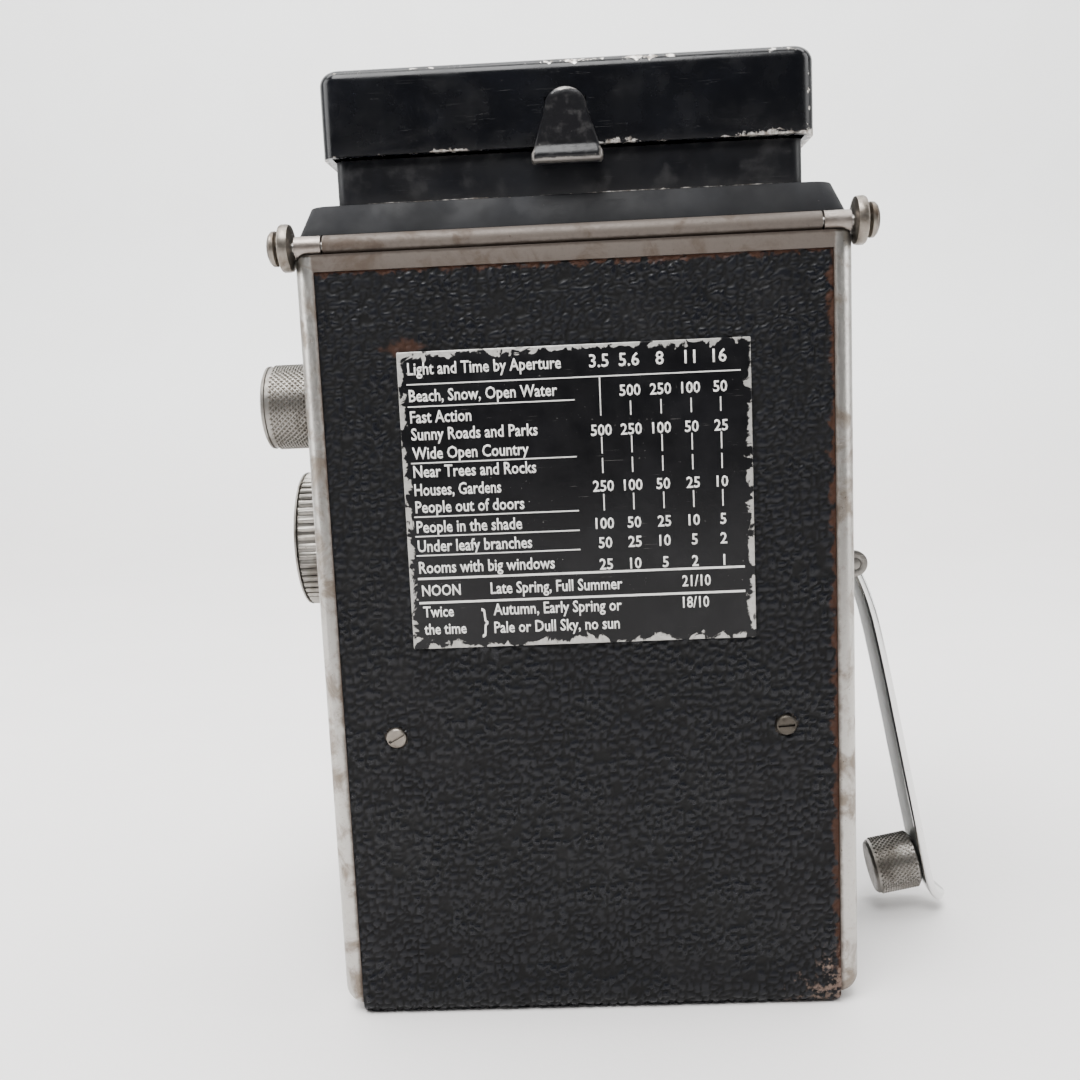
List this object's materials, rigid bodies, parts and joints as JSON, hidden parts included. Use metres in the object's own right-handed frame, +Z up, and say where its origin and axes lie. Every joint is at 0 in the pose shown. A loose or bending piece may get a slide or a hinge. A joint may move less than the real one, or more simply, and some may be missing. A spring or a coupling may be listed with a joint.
{
  "type": "twin lens reflex camera",
  "caption": "Roll-film camera with stacked lenses, a folding viewing hood, a hinged back, focusing and spool knobs and a folding winding crank.",
  "frame": {"origin": "centre of the tripod thread's mouth, in the plane of the feet", "axes": "+Z up, -Y the way the lenses look, +X to the user's left hand (focusing and spool knobs)"},
  "size_m": [0.1068, 0.0855, 0.1355],
  "materials": {
    "satin_black": "satin",
    "black_leather": "pebbled grain",
    "ground_glass": "ground",
    "silvered_glass": "mirror",
    "nickel": "dull, worn plating",
    "bright_screws": "worn chrome",
    "gloss_black": "glossy, chipped enamel",
    "table_black": "satin with silver lines",
    "grey_aluminium": "knurled and worn",
    "brass": "machined",
    "lens_glass": "polished"
  },
  "bodies": {
    "body": {"body_casting": "satin_black", "left_side_leather": "black_leather", "right_side_leather": "black_leather", "exposure_chamber": "satin_black", "focusing_screen": "ground_glass", "screen_frame": "satin_black", "mirror": "silvered_glass", "mirror_holder": "satin_black", "door_hinge_pin": "nickel", "strap_studs": "bright_screws", "hood_base": "gloss_black", "hood_collar": "gloss_black", "hood_hinge_pins": "nickel", "shaft_bearings": "nickel", "gear_posts": "nickel", "knob_guides": "nickel"},
    "back_door": {"back_shell": "nickel", "back_leather": "black_leather", "exposure_table": "table_black", "back_screws": "bright_screws", "feet": "nickel", "tripod_bush": "nickel", "pressure_springs": "nickel"},
    "latch": {"back_latch": "nickel"},
    "pressure_pad": {"pressure_plate": "gloss_black"},
    "lid": {"hood_lid": "gloss_black", "finder_flap": "gloss_black", "lid_pins": "nickel"},
    "magnifier": {"magnifier_frame": "gloss_black", "magnifier_lens": "lens_glass"},
    "catch": {"hood_catch": "gloss_black"},
    "left_panel": {"hood_panel_left": "gloss_black"},
    "right_panel": {"hood_panel_right": "gloss_black"},
    "rear_panel": {"hood_panel_rear": "gloss_black"},
    "lens_unit": {"lens_board": "nickel", "focus_rack": "brass", "shutter_housing": "gloss_black", "viewing_lens_barrel": "bright_screws", "taking_lens_barrel": "bright_screws", "viewing_lens_glass": "lens_glass", "taking_lens_glass": "lens_glass", "rear_lens_cell": "gloss_black", "shutter_blades": "gloss_black"},
    "aperture_ring": {"aperture_lever": "grey_aluminium"},
    "shutter_ring": {"shutter_lever": "grey_aluminium"},
    "focus_unit": {"focus_pinion": "brass", "focus_scale": "grey_aluminium", "focus_knob": "grey_aluminium"},
    "crank": {"crank_hub": "bright_screws", "crank_gear": "brass", "crank_fold_pin": "nickel"},
    "folding_arm": {"crank_arm": "bright_screws"},
    "handle": {"crank_handle": "grey_aluminium"},
    "idler": {"idler_gear": "brass"},
    "takeup": {"takeup_drive": "brass", "takeup_spool": "gloss_black"},
    "takeup_pull": {"takeup_knob": "grey_aluminium"},
    "supply_pull": {"supply_knob": "grey_aluminium"},
    "upper_roller": {"upper_film_roller": "nickel"},
    "lower_roller": {"lower_film_roller": "nickel"}
  },
  "joints": [
    {"name": "back_door_hinge", "type": "hinge", "parent": "body", "child": "back_door", "pos_m": [0, 0.0319, 0.1117], "axis": [1, 0, 0], "range_deg": [0, 110]},
    {"name": "back_latch_turn", "type": "hinge", "parent": "back_door", "child": "latch", "pos_m": [0, -0.024, 0.0005], "axis": [0, 0, 1], "range_deg": [-40, 40]},
    {"name": "pressure_plate_slide", "type": "slide", "parent": "back_door", "child": "pressure_pad", "axis": [0, 1, 0], "range_m": [0, 0.001], "stiffness_N_per_m": 500, "springref_m": -0.001, "deforming": ["pressure_springs"]},
    {"name": "hood_lid_hinge", "type": "hinge", "parent": "body", "child": "lid", "pos_m": [0, -0.0327, 0.1246], "axis": [1, 0, 0], "range_deg": [0, 90]},
    {"name": "hood_panel_left_hinge", "type": "hinge", "parent": "body", "child": "left_panel", "pos_m": [0.0295, 0, 0.1195], "axis": [0, 1, 0], "range_deg": [0, 90]},
    {"name": "hood_panel_right_hinge", "type": "hinge", "parent": "body", "child": "right_panel", "pos_m": [-0.0295, 0, 0.1195], "axis": [0, -1, 0], "range_deg": [0, 90]},
    {"name": "hood_panel_rear_hinge", "type": "hinge", "parent": "body", "child": "rear_panel", "pos_m": [0, 0.0265, 0.1219], "axis": [-1, 0, 0], "range_deg": [0, 90]},
    {"name": "magnifier_hinge", "type": "hinge", "parent": "lid", "child": "magnifier", "pos_m": [0, -0.0007, 0.1323], "axis": [-1, 0, 0], "range_deg": [0, 90]},
    {"name": "hood_catch_hinge", "type": "hinge", "parent": "lid", "child": "catch", "pos_m": [0, 0.0281, 0.1285], "axis": [1, 0, 0], "range_deg": [0, 7], "stiffness_Nm_per_rad": 0.02, "springref_deg": -11.46},
    {"name": "focus_knob_turn", "type": "hinge", "parent": "body", "child": "focus_unit", "pos_m": [0.04, -0.0025, 0.0673], "axis": [-1, 0, 0], "range_deg": [0, 124.2]},
    {"name": "lens_board_slide", "type": "slide", "parent": "body", "child": "lens_unit", "axis": [0, -1, 0], "range_m": [0, 0.0065]},
    {"name": "aperture_lever_turn", "type": "hinge", "parent": "lens_unit", "child": "aperture_ring", "pos_m": [0, -0.04185, 0.044], "axis": [0, 1, 0], "range_deg": [0, 50]},
    {"name": "shutter_lever_turn", "type": "hinge", "parent": "lens_unit", "child": "shutter_ring", "pos_m": [0, -0.03945, 0.044], "axis": [0, 1, 0], "range_deg": [0, 40], "stiffness_Nm_per_rad": 0.002, "springref_deg": -17.19},
    {"name": "crank_turn", "type": "hinge", "parent": "body", "child": "crank", "pos_m": [-0.04, 0.0025, 0.061], "axis": [1, 0, 0], "continuous": true},
    {"name": "idler_turn", "type": "hinge", "parent": "body", "child": "idler", "pos_m": [-0.0345, 0.00581, 0.07747], "axis": [1, 0, 0], "continuous": true},
    {"name": "takeup_turn", "type": "hinge", "parent": "body", "child": "takeup", "pos_m": [-0.0345, 0.017, 0.09], "axis": [1, 0, 0], "continuous": true},
    {"name": "crank_fold", "type": "hinge", "parent": "crank", "child": "folding_arm", "pos_m": [-0.0434, 0.0025, 0.061], "axis": [0, 1, 0], "range_deg": [-7.5, 160]},
    {"name": "crank_handle_spin", "type": "hinge", "parent": "folding_arm", "child": "handle", "pos_m": [-0.05543, 0.0025, 0.0087], "axis": [0.9829, 0, -0.1843], "continuous": true},
    {"name": "takeup_knob_pull", "type": "slide", "parent": "body", "child": "takeup_pull", "axis": [1, 0, 0], "range_m": [0, 0.005]},
    {"name": "supply_knob_pull", "type": "slide", "parent": "body", "child": "supply_pull", "axis": [1, 0, 0], "range_m": [0, 0.005]},
    {"name": "upper_roller_spin", "type": "hinge", "parent": "body", "child": "upper_roller", "pos_m": [0, 0.0232, 0.0752], "axis": [1, 0, 0], "continuous": true},
    {"name": "lower_roller_spin", "type": "hinge", "parent": "body", "child": "lower_roller", "pos_m": [0, 0.0232, 0.0128], "axis": [1, 0, 0], "continuous": true}
  ],
  "couplings": [
    {"joint": "hood_panel_left_hinge", "follows": "hood_lid_hinge", "ratio": 1},
    {"joint": "hood_panel_right_hinge", "follows": "hood_lid_hinge", "ratio": 1},
    {"joint": "hood_panel_rear_hinge", "follows": "hood_lid_hinge", "ratio": 1},
    {"joint": "magnifier_hinge", "follows": "hood_lid_hinge", "ratio": 1},
    {"joint": "focus_knob_turn", "follows": "lens_board_slide", "rad_per_m": 333.33},
    {"joint": "idler_turn", "follows": "crank_turn", "ratio": -1.3333},
    {"joint": "takeup_turn", "follows": "crank_turn", "ratio": 1}
  ]
}
